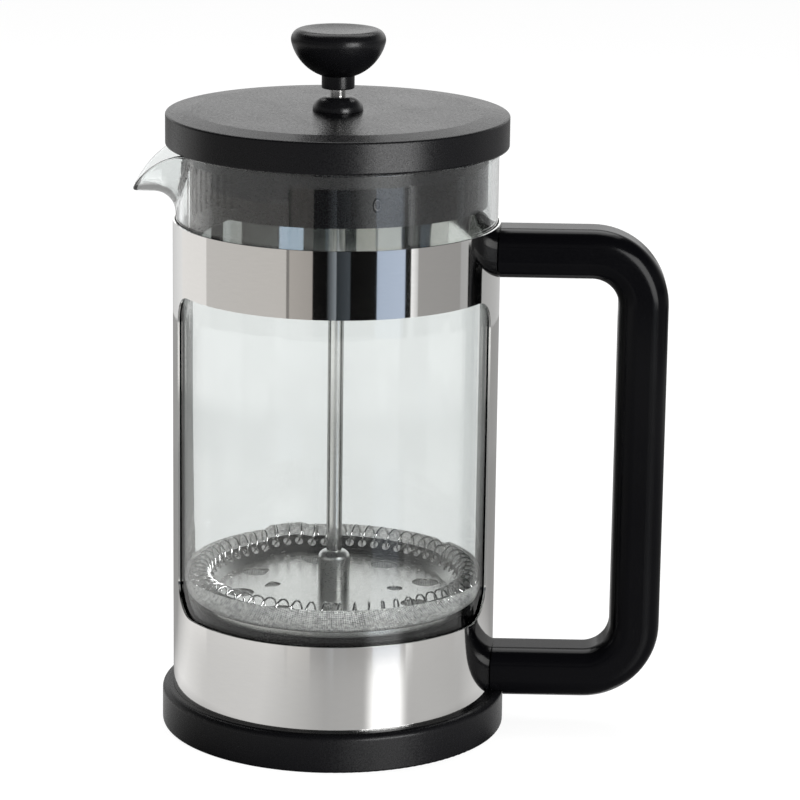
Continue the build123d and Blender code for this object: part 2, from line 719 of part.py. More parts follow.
# Cross plate: a spoked stamping with a turned-down edge under the screen
with BuildPart() as cross_plate:
    with BuildSketch(Plane.XY.offset(cross_bottom)):
        Circle(cross_radius)
        Circle(cross_radius - CROSS_RIM, mode=Mode.SUBTRACT)
        with PolarLocations((cross_radius - CROSS_RIM / 2) / 2, CROSS_SPOKES):
            Rectangle(cross_radius - CROSS_RIM / 2, CROSS_SPOKE)
        Circle(CROSS_HUB_DIAMETER / 2)
        Circle(rod_radius + FIT, mode=Mode.SUBTRACT)
    extrude(amount=CROSS_SHEET)
    with BuildSketch(Plane.XY.offset(cross_bottom)):
        Circle(cross_radius)
        Circle(cross_radius - CROSS_SHEET, mode=Mode.SUBTRACT)
    extrude(amount=-CROSS_LIP)
finish(cross_plate, "cross_plate")

with BuildPart() as clamp_nut:
    with BuildSketch(Plane.XZ):
        ring(0, CLAMP_NUT_DIAMETER / 2, clamp_bottom, cross_bottom)
        ring(0, rod_radius + FIT, rod_bottom, cross_bottom, Mode.SUBTRACT)
    revolve(axis=Axis.Z)
    fillet(rim_edges(clamp_nut, CLAMP_NUT_DIAMETER / 2)[0], CLAMP_NUT_EDGE)
finish(clamp_nut, "clamp_nut")
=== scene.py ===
"""Looks of the french press: finishes, round wire and rim, moulding mark, and the studio it stands in.

Metres, +Z up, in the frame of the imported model: the beaker's axis is +Z, the handle points along
+X and the spout along -X. Sizes in millimetres are multiplied by MM where they are used.
"""

import logging
import math
from dataclasses import dataclass
from enum import Enum
from typing import Any

import bmesh
import bpy
from mathutils import Matrix, Vector
from mathutils.kdtree import KDTree


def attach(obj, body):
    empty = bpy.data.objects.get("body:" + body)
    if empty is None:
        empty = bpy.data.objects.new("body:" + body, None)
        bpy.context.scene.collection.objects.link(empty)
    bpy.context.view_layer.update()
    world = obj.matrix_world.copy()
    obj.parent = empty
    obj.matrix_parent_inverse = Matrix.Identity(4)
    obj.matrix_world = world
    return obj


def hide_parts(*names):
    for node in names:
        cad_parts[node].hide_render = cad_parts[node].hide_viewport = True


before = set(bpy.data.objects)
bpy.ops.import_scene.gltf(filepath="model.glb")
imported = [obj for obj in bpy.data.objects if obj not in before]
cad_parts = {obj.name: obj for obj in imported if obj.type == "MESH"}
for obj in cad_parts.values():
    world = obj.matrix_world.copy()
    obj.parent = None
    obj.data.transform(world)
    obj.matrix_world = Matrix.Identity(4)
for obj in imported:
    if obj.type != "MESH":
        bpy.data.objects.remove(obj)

LOG = logging.getLogger("french_press")
MM = 0.001
Socket = bpy.types.NodeSocket
Sockets = bpy.types.bpy_prop_collection
Colour = tuple[float, float, float, float]
Span = tuple[float, float, float, float]
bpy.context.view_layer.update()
GRAIN_SPREAD = (0.35, 0.65)  # where most of a noise lies
CLOUD_SPREAD = (0.3, 0.7)
RELIEF_SHARE = 0.25  # height of a finish's relief over its pitch
HALF_DEPTH = 0.5  # between no bounce of light and one
HALF_TURN = 180.0  # degrees
FOLD_LIMIT = 0.5  # cosine past which a face counts as turned over
WALL_LIMIT = 0.7  # cosine within which a normal belongs to a wall
TALL_PIECES = ("handle", "rod_guide", "knob", "garter_spring_wire")  # lit by the whole strip on the right
FLAT_PIECES = ("base", "lid", "gate_scar")  # lit by its foot alone
BLACK_PIECES = ("base", "handle", "lid", "rod_guide", "knob", "gate_scar")
SHADING_PIECES = BLACK_PIECES + ("sleeve", "rod", "rod_collar")  # shade what a kept lamp lights


class Graph:
    """Adds nodes to one tree and joins them."""

    def __init__(self, tree: bpy.types.NodeTree) -> None:
        """Keep the tree and start from an empty one."""
        self.tree = tree
        tree.nodes.clear()

    def add(self, kind: str, inputs: dict[Any, Any] | None = None, **settings: Any) -> bpy.types.Node:
        """Add a node.

        Args:
            kind: Blender's name of the node type, without its prefix.
            inputs: for each input, by name or number, a plain value or the socket that feeds it.
            **settings: properties of the node itself.

        Returns:
            The new node.
        """
        node = self.tree.nodes.new(kind if kind.startswith("NodeGroup") else "ShaderNode" + kind)
        for name, value in settings.items():
            setattr(node, name, value)
        for name, value in (inputs or {}).items():
            if isinstance(value, bpy.types.NodeSocket):
                self.tree.links.new(value, node.inputs[name])
            else:
                node.inputs[name].default_value = value
        return node

    def math(self, operation: str, *values: Any) -> Socket:
        """Add a Math node and return its result."""
        return self.add("Math", dict(enumerate(values)), operation=operation).outputs[0]

    def vector(self, operation: str, *values: Any) -> Socket:
        """Add a Vector Math node and return its vector."""
        return self.add("VectorMath", dict(enumerate(values)), operation=operation).outputs[0]

    def length(self, vector: Socket) -> Socket:
        """Return the length of a vector."""
        return self.add("VectorMath", {0: vector}, operation="LENGTH").outputs["Value"]

    def parts(self, vector: Socket) -> Sockets:
        """Return a vector's X, Y and Z."""
        return self.add("SeparateXYZ", {0: vector}).outputs

    def combine(self, **parts: Any) -> Socket:
        """Return a vector made of X, Y and Z, which are zero where they aren't given."""
        return self.add("CombineXYZ", parts).outputs[0]

    def span(
        self, value: Any, low: float, high: float, to_low: float, to_high: float, ease: str = "LINEAR"
    ) -> Socket:
        """Map a value from one range to another, clamped, and return the result."""
        limits = {"Value": value, "From Min": low, "From Max": high, "To Min": to_low, "To Max": to_high}
        return self.add("MapRange", limits, interpolation_type=ease).outputs["Result"]

    def noise(self, vector: Any, scale: Any, detail: float) -> Socket:
        """Add a Noise Texture and return its factor."""
        return self.add("TexNoise", {"Vector": vector, "Scale": scale, "Detail": detail}).outputs["Fac"]

    def mix(self, factor: Socket, first: Colour, second: Colour) -> Socket:
        """Return a colour between two."""
        colours = {"Factor": factor, "A": first, "B": second}
        return self.add("Mix", colours, data_type="RGBA").outputs["Result"]

    def bump(self, strength: float, distance: float, height: Socket, **inputs: Any) -> Socket:
        """Return a normal bent by a height."""
        relief = {"Strength": strength, "Distance": distance, "Height": height}
        return self.add("Bump", relief | inputs).outputs["Normal"]

    def glow(self, colour: Any, strength: Any) -> Socket:
        """Return an Emission shader."""
        return self.add("Emission", {"Color": colour, "Strength": strength}).outputs[0]

    def both(self, first: Socket, second: Socket) -> Socket:
        """Return the sum of two shaders."""
        return self.add("AddShader", {0: first, 1: second}).outputs[0]

    def choose(self, mask: Socket, first: Socket, second: Socket) -> Socket:
        """Return one of two shaders, the second where the mask is 1."""
        return self.add("MixShader", {0: mask, 1: first, 2: second}).outputs[0]


class NodeGroup:
    """A shader node group that several finishes share."""

    def __init__(self, name: str, inputs: dict[str, str], outputs: tuple[str, ...]) -> None:
        """Make the empty group.

        Args:
            name: the group's name.
            inputs: socket type of each input, by name.
            outputs: names of the outputs, which are plain values.
        """
        self.tree = bpy.data.node_groups.new(name, "ShaderNodeTree")
        self.graph = Graph(self.tree)
        for socket, kind in inputs.items():
            self.tree.interface.new_socket(socket, in_out="INPUT", socket_type="NodeSocket" + kind)
        for socket in outputs:
            self.tree.interface.new_socket(socket, in_out="OUTPUT", socket_type="NodeSocketFloat")
        self.inputs = self.graph.add("NodeGroupInput").outputs
        self.result = self.graph.add("NodeGroupOutput").inputs

    def put_out(self, name: str, socket: Socket) -> None:
        """Join a socket to one of the group's outputs."""
        self.tree.links.new(socket, self.result[name])

    def place(self, graph: Graph, **inputs: Any) -> Sockets:
        """Put the group into a material's graph, with its inputs by name, and return its outputs."""
        named = {name.title(): value for name, value in inputs.items()}
        return graph.add("Group", named, node_tree=self.tree).outputs


class Effects:
    """The node groups, each built once."""

    def __init__(self) -> None:
        """Build every group."""
        self.grain = self.moulded_grain()
        self.marks = self.handling_marks()
        self.lines = self.polishing_lines()

    @staticmethod
    def moulded_grain() -> NodeGroup:
        """Fine spark-eroded grain of a moulding.

        Returns:
            A group with Height for a bump and Speckle, from 0 to 1.
        """
        group = NodeGroup("moulded_grain", {"Vector": "Vector", "Fineness": "Float"}, ("Height", "Speckle"))
        graph, place, fineness = group.graph, group.inputs["Vector"], group.inputs["Fineness"]
        pits = graph.add("TexVoronoi", {"Vector": place, "Scale": fineness}).outputs["Distance"]
        cloud = graph.noise(place, fineness, detail=3.0)
        group.put_out("Height", graph.math("ADD", pits, cloud))
        group.put_out("Speckle", graph.span(cloud, *GRAIN_SPREAD, 0.0, 1.0))
        return group

    @staticmethod
    def handling_marks() -> NodeGroup:
        """Soft cloudy patches left by hands and cloths.

        Returns:
            A group with Patches, from 0 to 1.
        """
        group = NodeGroup("handling_marks", {"Vector": "Vector", "Size": "Float"}, ("Patches",))
        graph = group.graph
        scale = graph.math("DIVIDE", 1.0, group.inputs["Size"])
        cloud = graph.noise(group.inputs["Vector"], scale, detail=4.0)
        group.put_out("Patches", graph.span(cloud, *CLOUD_SPREAD, 0.0, 1.0))
        return group

    @staticmethod
    def polishing_lines() -> NodeGroup:
        """Hair lines that run round the press's axis, as a buffing wheel leaves them.

        Returns:
            A group with Lines, from 0 to 1.
        """
        sockets = {"Vector": "Vector", "Fineness": "Float", "Stretch": "Float"}
        group = NodeGroup("polishing_lines", sockets, ("Lines",))
        graph, fineness = group.graph, group.inputs["Fineness"]
        parts = graph.parts(group.inputs["Vector"])
        around = graph.math("ARCTAN2", parts["Y"], parts["X"])
        reach = graph.length(graph.combine(X=parts["X"], Y=parts["Y"]))
        unrolled = graph.combine(
            X=graph.math("MULTIPLY", around, group.inputs["Stretch"]),
            Y=graph.math("MULTIPLY", reach, fineness),
            Z=graph.math("MULTIPLY", parts["Z"], fineness),
        )
        group.put_out("Lines", graph.noise(unrolled, 1.0, detail=3.0))
        return group


def start_material(name: str) -> tuple[bpy.types.Material, Graph, Socket]:
    """Make an empty node material.

    Args:
        name: the material's name.

    Returns:
        The material, its graph, and the Object coordinates.
    """
    material = bpy.data.materials.new(name)
    material.use_nodes = True
    graph = Graph(material.node_tree)
    return material, graph, graph.add("TexCoord").outputs["Object"]


def close_material(graph: Graph, shader: Socket) -> None:
    """Join a shader to the material's output."""
    graph.add("OutputMaterial", {"Surface": shader})


def shade(colour: Colour, share: float) -> Colour:
    """A colour made darker, or paler where the share is over 1."""
    return tuple(min(1.0, share * part) for part in colour[:3]) + (1.0,)


@dataclass(frozen=True)
class MouldedPlastic:
    """Black plastic with the fine grain of its mould."""

    name: str
    colour: Colour
    roughness: float
    grain: float  # size of a pit, in metres
    depth: float  # strength of the grain's bump
    shine: float  # specular level
    pale: float = 1.5  # colour of the grain's tops, over the plastic's own
    uneven: float = 0.18  # share by which the roughness changes from place to place
    uneven_size: float = 2.0  # size of such a place, over a pit's
    mark_size: float = 30 * MM
    mark_depth: float = 0.03  # change of the roughness where it was touched

    def material(self, effects: Effects) -> bpy.types.Material:
        """Build the material.

        Args:
            effects: the shared node groups.

        Returns:
            The finished material.
        """
        material, graph, place = start_material(self.name)
        grain = effects.grain.place(graph, vector=place, fineness=1 / self.grain)
        patch = self.uneven_size * self.grain
        coarse = effects.grain.place(graph, vector=place, fineness=1 / patch)["Speckle"]
        marks = effects.marks.place(graph, vector=place, size=self.mark_size)["Patches"]
        smooth, rough = (1 - self.uneven) * self.roughness, (1 + self.uneven) * self.roughness
        shader = graph.add(
            "BsdfPrincipled",
            {
                "Base Color": graph.mix(grain["Speckle"], self.colour, shade(self.colour, self.pale)),
                "Roughness": graph.math(
                    "ADD",
                    graph.span(coarse, 0.0, 1.0, smooth, rough),
                    graph.span(marks, 0.0, 1.0, -self.mark_depth, self.mark_depth),
                ),
                "Specular IOR Level": self.shine,
                "Normal": graph.bump(self.depth, RELIEF_SHARE * self.grain, grain["Height"]),
            },
        )
        close_material(graph, shader.outputs["BSDF"])
        return material


@dataclass(frozen=True)
class WorkedMetal:
    """Bare metal with the lines of its polishing and the marks of hands."""

    name: str
    colour: Colour
    roughness: float
    line_depth: float  # how much the lines change the roughness
    fineness: float  # lines across a metre
    relief: float  # strength of the lines' bump
    wave: float = 0.0  # strength of the sheet's slow waves
    line_stretch: float = 9.0  # lines along a radian
    line_height: float = 0.02 * MM
    dull: float = 0.93  # colour in a line, over the metal's own
    mark_size: float = 45 * MM
    mark_depth: float = 0.02
    wave_length: float = 38 * MM
    wave_height: float = 1 * MM

    def material(self, effects: Effects) -> bpy.types.Material:
        """Build the material.

        Args:
            effects: the shared node groups.

        Returns:
            The finished material.
        """
        material, graph, place = start_material(self.name)
        wheel = {"fineness": self.fineness, "stretch": self.line_stretch}
        lines = effects.lines.place(graph, vector=place, **wheel)["Lines"]
        marks = effects.marks.place(graph, vector=place, size=self.mark_size)["Patches"]
        waves = graph.noise(place, 1 / self.wave_length, detail=0.0)
        rolled = graph.bump(self.wave, self.wave_height, waves)
        shader = graph.add(
            "BsdfPrincipled",
            {
                "Base Color": graph.mix(lines, self.colour, shade(self.colour, self.dull)),
                "Metallic": 1.0,
                "Roughness": graph.math(
                    "ADD",
                    graph.span(lines, *CLOUD_SPREAD, self.roughness, self.roughness + self.line_depth),
                    graph.span(marks, 0.0, 1.0, 0.0, self.mark_depth),
                ),
                "Normal": graph.bump(self.relief, self.line_height, lines, Normal=rolled),
            },
        )
        close_material(graph, shader.outputs["BSDF"])
        return material


@dataclass(frozen=True)
class WovenSteel:
    """Plain-woven wire cloth, pressed from a flat disc into a dish."""

    name: str
    colour: Colour
    roughness: float
    pitch: float  # wire to wire, in metres
    open_share: float  # width of a gap over the pitch
    floor: float  # height at which the dish starts to turn up
    metal: float = 0.6  # the rest scatters light, as crossed wires do
    relief: float = 0.8
    painted_dark: float = 0.2  # darkest colour of a wire under painted shade and painted sparkle, over the steel's own
    under: float = 0.75  # painted shade: brightness of a wire where it passes under another
    painted_sparkle: tuple[float, float] = (0.3, 1.0)  # painted sparkle: brightness from cell to cell, painted into the colour
    mark_size: float = 12 * MM
    mark_depth: float = 0.1

    def material(self, effects: Effects) -> bpy.types.Material:
        """Build the material, whose pattern follows the disc that the dish was pressed from.

        Args:
            effects: the shared node groups.

        Returns:
            The finished material.
        """
        material, graph, place = start_material(self.name)
        parts = graph.parts(place)
        flat = graph.combine(X=parts["X"], Y=parts["Y"])
        turned_up = graph.math("MAXIMUM", graph.math("SUBTRACT", parts["Z"], self.floor), 0.0)
        unrolled = graph.math("ADD", 1.0, graph.math("DIVIDE", turned_up, graph.length(flat)))
        disc = graph.add("VectorMath", {0: flat, "Scale": unrolled}, operation="SCALE").outputs[0]
        across = graph.parts(disc)
        turn = 2 * math.pi / self.pitch
        warp = graph.math("COSINE", graph.math("MULTIPLY", across["X"], turn))
        weft = graph.math("COSINE", graph.math("MULTIPLY", across["Y"], turn))
        edge = math.cos(math.pi * (1 - self.open_share))
        top = graph.math("MAXIMUM", warp, weft)
        # painted shade where a wire passes under another
        over = graph.span(graph.math("MULTIPLY", warp, weft), -1.0, 1.0, self.under, 1.0)
        cell = graph.vector("FLOOR", graph.vector("DIVIDE", disc, (self.pitch, self.pitch, self.pitch)))
        chance = graph.add("TexWhiteNoise", {"Vector": cell}).outputs["Value"]
        # painted shade times painted sparkle, which darken the wire's colour
        bright = graph.math("MULTIPLY", over, graph.span(chance, 0.0, 1.0, *self.painted_sparkle))
        marks = effects.marks.place(graph, vector=place, size=self.mark_size)["Patches"]
        shader = graph.add(
            "BsdfPrincipled",
            {
                "Base Color": graph.mix(bright, shade(self.colour, self.painted_dark), self.colour),
                "Metallic": self.metal,
                "Roughness": graph.span(marks, 0.0, 1.0, self.roughness, self.roughness + self.mark_depth),
                "Alpha": graph.math("GREATER_THAN", top, edge),
                "Normal": graph.bump(self.relief, RELIEF_SHARE * self.pitch, top),
            },
        )
        close_material(graph, shader.outputs["BSDF"])
        return material


@dataclass(frozen=True)
class ClearGlass:
    """Blown borosilicate: clear, faintly wavy, and open to the lamps' light."""

    name: str
    tint: Colour
    bend: float  # refractive index
    wave: float  # strength of the blown surface's waves
    wave_height: float = 0.4 * MM
    mark_size: float = 60 * MM
    mark_depth: float = 0.012

    def material(self, effects: Effects) -> bpy.types.Material:
        """Build the material.

        Args:
            effects: the shared node groups.

        Returns:
            The finished material.
        """
        material, graph, place = start_material(self.name)
        marks = effects.marks.place(graph, vector=place, size=self.mark_size)["Patches"]
        shader = graph.add(
            "BsdfPrincipled",
            {
                "Base Color": self.tint,
                "Roughness": graph.span(marks, 0.0, 1.0, 0.0, self.mark_depth),
                "IOR": self.bend,
                "Transmission Weight": 1.0,
                "Normal": graph.bump(self.wave, self.wave_height, marks),
            },
        )
        clear = graph.add("BsdfTransparent", {"Color": self.tint})
        lamps = graph.add("LightPath").outputs["Is Shadow Ray"]
        close_material(graph, graph.choose(lamps, shader.outputs["BSDF"], clear.outputs["BSDF"]))
        return material


class Finish(Enum):
    """The finishes of the press, each named for the record's slot or for a variety of it."""

    BLACK_PLASTIC = MouldedPlastic(
        "black_plastic", (0.002, 0.002, 0.0023, 1.0),
        roughness=0.27, grain=0.26 * MM, depth=0.16, shine=0.15,
    )
    GRIP_PLASTIC = MouldedPlastic(
        "grip_plastic", (0.0008, 0.0008, 0.001, 1.0),
        roughness=0.16, grain=0.22 * MM, depth=0.05, shine=0.062,
    )
    GLOSS_BLACK_PLASTIC = MouldedPlastic(
        "gloss_black_plastic", (0.003, 0.003, 0.0034, 1.0),
        roughness=0.27, grain=0.3 * MM, depth=0.08, shine=0.22,
    )
    TORN_PLASTIC = MouldedPlastic(
        "torn_plastic", (0.012, 0.012, 0.013, 1.0),
        roughness=0.15, grain=0.3 * MM, depth=0.3, shine=0.5,
    )
    POLISHED_STEEL = WorkedMetal(
        "polished_steel", (0.86, 0.855, 0.84, 1.0),
        roughness=0.02, line_depth=0.035, fineness=2600.0, relief=0.03, wave=0.04,
    )
    SATIN_STEEL = WorkedMetal(
        "satin_steel", (0.62, 0.615, 0.60, 1.0),
        roughness=0.17, line_depth=0.10, fineness=3200.0, relief=0.05,
    )
    TURNED_STEEL = WorkedMetal(
        "turned_steel", (0.90, 0.895, 0.88, 1.0),
        roughness=0.24, line_depth=0.10, fineness=5200.0, relief=0.06,
    )
    DRAWN_STEEL = WorkedMetal(
        "drawn_steel", (0.84, 0.835, 0.82, 1.0),
        roughness=0.10, line_depth=0.08, fineness=5200.0, relief=0.04,
    )
    SPRING_WIRE = WorkedMetal(
        "spring_wire", (0.80, 0.80, 0.79, 1.0),
        roughness=0.12, line_depth=0.08, fineness=6000.0, relief=0.05,
    )
    WOVEN_STEEL = WovenSteel(
        "woven_steel", (0.90, 0.895, 0.88, 1.0),
        roughness=0.58, pitch=0.75 * MM, open_share=0.52, floor=42.0 * MM,
    )
    CLEAR_GLASS = ClearGlass("clear_glass", (0.83, 0.85, 0.845, 1.0), bend=1.47, wave=0.03)
    INSERT_BRASS = WorkedMetal(
        "insert_brass", (0.76, 0.56, 0.25, 1.0),
        roughness=0.22, line_depth=0.12, fineness=4000.0, relief=0.2,
    )


class Workshop:
    """Makes each finish once and dresses nodes and pieces with it."""

    def __init__(self) -> None:
        """Build the effects and an empty shelf of materials."""
        self.effects = Effects()
        self.shelf: dict[Finish, bpy.types.Material] = {}

    def dress(self, piece: bpy.types.Object, finish: Finish) -> None:
        """Give a node or piece one finish all over.

        Args:
            piece: the object to dress.
            finish: its finish.
        """
        if finish not in self.shelf:
            self.shelf[finish] = finish.value.material(self.effects)
        piece.data.materials.clear()
        piece.data.materials.append(self.shelf[finish])

    def dress_node(self, name: str, finish: Finish) -> None:
        """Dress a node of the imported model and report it."""
        self.dress(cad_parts[name], finish)
        LOG.info("%s: %s", name, finish.value.name)

    def dress_piece(self, piece: bpy.types.Object, finish: Finish, body: str) -> None:
        """Dress a new piece, set it on a body and report it.

        Args:
            piece: the piece.
            finish: its finish.
            body: the body that it rides on.
        """
        self.dress(piece, finish)
        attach(piece, body)
        LOG.info("%s on %s: %s", piece.name, body, finish.value.name)


def face_outwards(form: bmesh.types.BMesh) -> None:
    """Turn every face of a closed mesh outwards.

    Args:
        form: the mesh, which may be a coil or a thin dome.
    """
    bmesh.ops.recalc_face_normals(form, faces=form.faces[:])
    if form.calc_volume(signed=True) < 0:
        bmesh.ops.reverse_faces(form, faces=form.faces[:])


def finished_object(name: str, form: bmesh.types.BMesh) -> bpy.types.Object:
    """Turn a bmesh into an object at the origin that shades smoothly.

    Args:
        name: the object's name.
        form: the mesh, which is freed.

    Returns:
        The new object.
    """
    for face in form.faces:
        face.smooth = True
    mesh = bpy.data.meshes.new(name)
    form.to_mesh(mesh)
    form.free()
    piece = bpy.data.objects.new(name, mesh)
    bpy.context.scene.collection.objects.link(piece)
    return piece


@dataclass
class Stand:
    """Base, sleeve and handle with their fixings."""

    def dress(self, workshop: Workshop) -> None:
        """Dress the stand's nodes.

        Args:
            workshop: the maker of the finishes.
        """
        workshop.dress_node("base", Finish.BLACK_PLASTIC)
        workshop.dress_node("handle", Finish.GRIP_PLASTIC)
        workshop.dress_node("sleeve", Finish.POLISHED_STEEL)
        workshop.dress_node("handle_screws", Finish.SATIN_STEEL)
        workshop.dress_node("handle_inserts", Finish.INSERT_BRASS)


class RoundedRim:
    """Melts the square rim of a closed glass to a round one."""

    def __init__(self, form: bmesh.types.BMesh, crease: float, depth: float, room: float) -> None:
        """Find the rim: the flat faces between the only sharp edges.

        Args:
            form: the glass, with its doubles merged.
            crease: the angle past which an edge is sharp.
            depth: how far the round reaches down the walls.
            room: the wall below the rim's corners that is kept free of other vertices.
        """
        self.form, self.depth, self.room = form, depth, room
        sharp = [edge for edge in form.edges if edge.calc_face_angle(0.0) > crease]
        self.corners = {vert for edge in sharp for vert in edge.verts}
        self.flat = {face for face in form.faces if all(vert in self.corners for vert in face.verts)}

    def border(self) -> set[bmesh.types.BMEdge]:
        """The edges between the flat rim and the walls."""
        edges = {edge for face in self.flat for edge in face.edges}
        return {edge for edge in edges if any(face not in self.flat for face in edge.link_faces)}

    def weld(self, targets: dict[bmesh.types.BMVert, bmesh.types.BMVert]) -> None:
        """Weld vertices onto others, and forget what went.

        Args:
            targets: for each vertex that goes, the one it goes to.
        """
        bmesh.ops.weld_verts(self.form, targetmap=targets)
        self.corners = {vert for vert in self.corners if vert.is_valid}
        self.flat = {face for face in self.flat if face.is_valid}
        self.form.normal_update()

    def crowded(self) -> dict[bmesh.types.BMVert, bmesh.types.BMVert]:
        """Wall vertices too close to a corner of the rim.

        Returns:
            Each with the corner that it goes to.
        """
        targets: dict[bmesh.types.BMVert, bmesh.types.BMVert] = {}
        for edge in sorted(self.form.edges, key=lambda edge: -edge.calc_length()):
            inside = [vert for vert in edge.verts if vert in self.corners]
            if len(inside) == 1 and edge.calc_length() < self.room:
                targets[edge.other_vert(inside[0])] = inside[0]
        return targets

    def outwards(self, vert: bmesh.types.BMVert) -> Vector:
        """The wall's normal at a corner of the rim."""
        walls = [face for face in vert.link_faces if face not in self.flat]
        return sum((face.normal * face.calc_area() for face in walls), Vector()).normalized()

    def downwards(self) -> dict[bmesh.types.BMVert, Vector]:
        """The way down the wall from each corner of the rim.

        Returns:
            A direction for each corner.
        """
        border, ways = self.border(), {}
        for vert in self.corners:
            before, after = (edge.other_vert(vert).co for edge in vert.link_edges if edge in border)
            way = self.outwards(vert).cross(after - before).normalized()
            above = sum((face.normal for face in vert.link_faces if face in self.flat), Vector())
            ways[vert] = -way if way.dot(above) > 0 else way
        return ways

    def folded(self) -> dict[bmesh.types.BMVert, bmesh.types.BMVert]:
        """Vertices whose wall face would turn over as the corners go down.

        Returns:
            Each with the vertex that it goes to.
        """
        ways, border = self.downwards(), self.border()
        targets: dict[bmesh.types.BMVert, bmesh.types.BMVert] = {}
        for face in self.form.faces:
            fixed = [vert for vert in face.verts if vert in self.corners]
            if face in self.flat or not fixed:
                continue
            first, second, third = (
                vert.co + ways[vert] * self.depth if vert in ways else vert.co for vert in face.verts
            )
            if (second - first).cross(third - first).normalized().dot(face.normal) > FOLD_LIMIT:
                continue
            free = [vert for vert in face.verts if vert not in self.corners] or fixed[:1]
            beside = [edge.other_vert(free[0]) for edge in free[0].link_edges if edge in border]
            goals = beside if free[0] in fixed else fixed
            pairs = [(vert, goal) for vert in free for goal in goals]
            vert, goal = min(pairs, key=lambda pair: (pair[0].co - pair[1].co).length)
            targets[vert] = goal
        return targets

    def ring(self, first: bmesh.types.BMVert) -> list[bmesh.types.BMVert]:
        """The corners in their order round the rim.

        Args:
            first: the corner to start at.

        Returns:
            Its whole ring.
        """
        border, ring, last = self.border(), [first], None
        while len(ring) == 1 or ring[-1] is not first:
            last = next(edge for edge in ring[-1].link_edges if edge in border and edge is not last)
            ring.append(last.other_vert(ring[-1]))
        return ring[:-1]

    def edges_of(self, ring: list[bmesh.types.BMVert]) -> list[bmesh.types.BMEdge]:
        """The edges of a closed ring of vertices."""
        return [self.form.edges.get(pair) for pair in zip(ring, ring[1:] + ring[:1])]

    def raise_row(self, row: list[bmesh.types.BMVert]) -> list[bmesh.types.BMVert]:
        """Extrude a ring.

        Args:
            row: the ring's vertices in order.

        Returns:
            The new vertices in the same order.
        """
        made = set(bmesh.ops.extrude_edge_only(self.form, edges=self.edges_of(row))["geom"])
        beside = ([edge.other_vert(vert) for edge in vert.link_edges] for vert in row)
        return [next(vert for vert in verts if vert in made) for verts in beside]

    def melt(self, rows: int) -> dict[bmesh.types.BMVert, tuple[Vector, Vector]]:
        """Lower the rim's corners and arch a round between them.

        Args:
            rows: the number of faces across the round.

        Returns:
            Where each corner was, and the wall's normal there.
        """
        for find in (self.crowded, self.folded):
            while targets := find():
                self.weld(targets)
        ways = self.downwards()
        was = {vert: (vert.co.copy(), self.outwards(vert)) for vert in self.corners}
        outer = self.ring(max(self.corners, key=lambda vert: vert.co.x))
        inner = self.ring(next(vert for vert in self.corners if vert not in outer))
        for vert, way in ways.items():
            vert.co += way * self.depth
        bmesh.ops.delete(self.form, geom=list(self.flat), context="FACES")
        row = outer
        feet = [self.foot(vert.co, inner, ways) for vert in outer]
        starts = [(vert.co.copy(), ways[vert]) for vert in outer]
        for number in range(1, rows):
            turn = math.pi * number / rows
            row = self.raise_row(row)
            for vert, (start, down), (end, end_down) in zip(row, starts, feet):
                above = -(down + end_down).normalized()
                vert.co = start.lerp(end, (1 - math.cos(turn)) / 2) + above * self.depth * math.sin(turn)
        bmesh.ops.bridge_loops(self.form, edges=self.edges_of(row) + self.edges_of(inner))
        return was

    @staticmethod
    def foot(
        point: Vector, ring: list[bmesh.types.BMVert], ways: dict[bmesh.types.BMVert, Vector]
    ) -> tuple[Vector, Vector]:
        """The place on a ring nearest to a point.

        Args:
            point: the point.
            ring: the ring's vertices in order.
            ways: the way down the wall at each.

        Returns:
            The place, and the way down there.
        """
        found = []
        for vert, after in zip(ring, ring[1:] + ring[:1]):
            along = after.co - vert.co
            share = min(1.0, max(0.0, (point - vert.co).dot(along) / along.length_squared))
            found.append((vert.co + along * share, ways[vert].lerp(ways[after], share)))
        return min(found, key=lambda pair: (pair[0] - point).length)


@dataclass
class Beaker:
    """The glass, whose rim is melted round here."""

    merge: float = 0.002 * MM
    crease: float = math.radians(35.0)
    rim_depth: float = 1.05 * MM
    rim_room: float = 1.6 * MM
    rim_rows: int = 8

    def build_glass(self) -> bpy.types.Object:
        """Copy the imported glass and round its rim.

        Returns:
            The glass.
        """
        form = bmesh.new()
        form.from_mesh(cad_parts["beaker"].data)
        bmesh.ops.remove_doubles(form, verts=form.verts[:], dist=self.merge)
        corners = RoundedRim(form, self.crease, self.rim_depth, self.rim_room).melt(self.rim_rows)
        face_outwards(form)
        form.verts.index_update()
        was = {vert.index: place for vert, place in corners.items()}
        glass = finished_object("beaker_glass", form)
        self.keep_normals(glass.data, was)
        return glass

    def keep_normals(self, mesh: bpy.types.Mesh, was: dict[int, tuple[Vector, Vector]]) -> None:
        """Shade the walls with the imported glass's own normals, so that they bend light evenly.

        Args:
            mesh: the glass with its new rim.
            was: for each lowered corner, its old place and the wall's normal there.
        """
        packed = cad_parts["beaker"].data
        normals = {
            corner.vertex_index: packed.corner_normals[corner.index].vector for corner in packed.loops
        }
        shelf = KDTree(len(packed.vertices))
        for vert in packed.vertices:
            shelf.insert(vert.co, vert.index)
        shelf.balance()
        found = []
        for vert in mesh.vertices:
            place, out = was.get(vert.index, (vert.co, vert.normal))
            numbers = (number for _, number, _ in shelf.find_range(place, self.merge))
            near = [normals[number] for number in numbers if number in normals]
            walls = (normal for normal in near if normal.dot(out) > WALL_LIMIT)
            found.append(tuple(sum(walls, Vector()).normalized()))
        mesh.normals_split_custom_set_from_vertices(found)

    def dress(self, workshop: Workshop) -> None:
        """Dress the glass and set it in place of its node.

        Args:
            workshop: the maker of the finishes.
        """
        workshop.dress_node("beaker", Finish.CLEAR_GLASS)
        glass = self.build_glass()
        workshop.dress_piece(glass, Finish.CLEAR_GLASS, "beaker")
        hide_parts("beaker")


